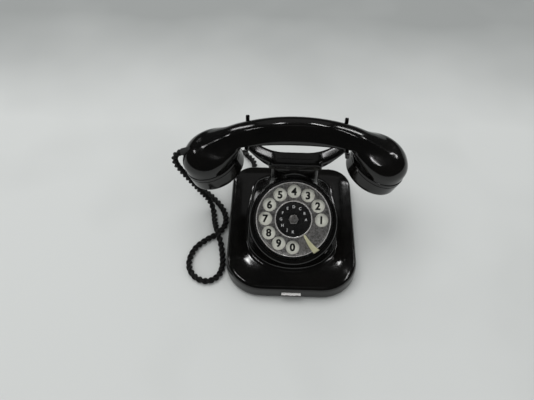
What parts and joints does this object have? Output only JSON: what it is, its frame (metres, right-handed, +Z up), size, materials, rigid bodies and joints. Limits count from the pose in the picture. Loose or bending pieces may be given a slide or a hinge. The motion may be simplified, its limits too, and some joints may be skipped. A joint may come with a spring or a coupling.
{
  "type": "telephone",
  "caption": "Desk telephone with a rotary dial on a sloping boss, a raised forked cradle, a two-cup handset and a twisted textile cord.",
  "frame": {"origin": "middle of the footprint, on the table, measured without the cord", "axes": "+X to the right along the handset, +Y to the rear, +Z up; the dial faces -Y and up"},
  "size_m": [0.2447, 0.2109, 0.1493],
  "materials": {
    "bakelite": "polished black phenolic moulding",
    "black_enamel": "black stove enamel",
    "white_enamel": "off-white enamel with black figures",
    "nickel": "worn nickel plate",
    "brass": "turned brass",
    "plate_steel": "zinc plated sheet",
    "aluminium": "pressed shell",
    "rubber": "matt black rubber",
    "winding": "varnished winding under tape",
    "waxed_paper": "waxed paper and pressboard",
    "textile": "twisted black textile braid"
  },
  "bodies": {
    "base": {"base_plate": "plate_steel", "capacitor": "waxed_paper", "contact_springs": "waxed_paper", "dial_case": "black_enamel", "finger_stop": "nickel", "foot_front_left": "rubber", "foot_front_right": "rubber", "foot_rear_left": "rubber", "foot_rear_right": "rubber", "gong_left": "nickel", "gong_post_left": "plate_steel", "gong_post_right": "plate_steel", "gong_right": "nickel", "handset_cord": "textile", "handset_cord_gland_rear": "rubber", "housing": "bakelite", "induction_coil": "winding", "lever_pin": "plate_steel", "line_cord_inlet": "rubber", "number_plate": "white_enamel", "pulse_contacts": "waxed_paper", "return_spring": "plate_steel", "ringer_coil_left": "winding", "ringer_coil_right": "winding", "ringer_yoke": "plate_steel", "switch_bracket": "plate_steel", "terminal_strip": "bakelite"},
    "dial": {"finger_wheel": "nickel", "centre_label": "black_enamel", "label_ring": "nickel", "hub_nut": "nickel", "dial_shaft": "brass", "dial_gear": "brass"},
    "governor": {"governor_pinion": "brass", "governor_drum": "brass"},
    "hook_lever": {"hook_lever": "plate_steel"},
    "clapper": {"clapper_arm": "plate_steel", "clapper_ball": "brass"},
    "cradle": {"cradle_fork": "bakelite", "cradle_plunger": "plate_steel"},
    "handset": {"handset_shell": "bakelite", "mouthpiece_cap": "bakelite", "mouthpiece_capsule": "aluminium", "earpiece_cap": "bakelite", "earpiece_capsule": "aluminium", "handset_cord_gland": "rubber"},
    "front_catch": {"front_catch": "nickel"}
  },
  "joints": [
    {"name": "handset_lift", "type": "slide", "parent": "base", "child": "handset", "axis": [0, 0, 1], "range_m": [0, 0.1]},
    {"name": "cradle_rise", "type": "slide", "parent": "base", "child": "cradle", "axis": [0, 0, 1], "range_m": [0, 0.006]},
    {"name": "hook_lever_swing", "type": "hinge", "parent": "base", "child": "hook_lever", "pos_m": [0, 0, 0.044], "axis": [1, 0, 0], "range_deg": [0, 14.4]},
    {"name": "dial_turn", "type": "hinge", "parent": "base", "child": "dial", "pos_m": [0, -0.025, 0.06], "axis": [0, 0.5906, -0.807], "range_deg": [0, 328], "stiffness_Nm_per_rad": 0.02, "springref_deg": -68.75},
    {"name": "governor_spin", "type": "hinge", "parent": "base", "child": "governor", "pos_m": [-0.02382, -0.0139, 0.06812], "axis": [0, 0.5906, -0.807], "range_deg": [-1320, 1320]},
    {"name": "clapper_swing", "type": "hinge", "parent": "base", "child": "clapper", "pos_m": [0, 0.0378, 0.016], "axis": [0, 0, 1], "range_deg": [-9, 9]},
    {"name": "catch_press", "type": "slide", "parent": "base", "child": "front_catch", "axis": [0, 1, 0], "range_m": [0, 0.0025], "stiffness_N_per_m": 900, "springref_m": -0.001}
  ],
  "couplings": [
    {"joint": "cradle_rise", "follows": "handset_lift", "ratio": 0.06},
    {"joint": "hook_lever_swing", "follows": "handset_lift", "rad_per_m": 2.49},
    {"joint": "governor_spin", "follows": "dial_turn", "ratio": -4}
  ]
}
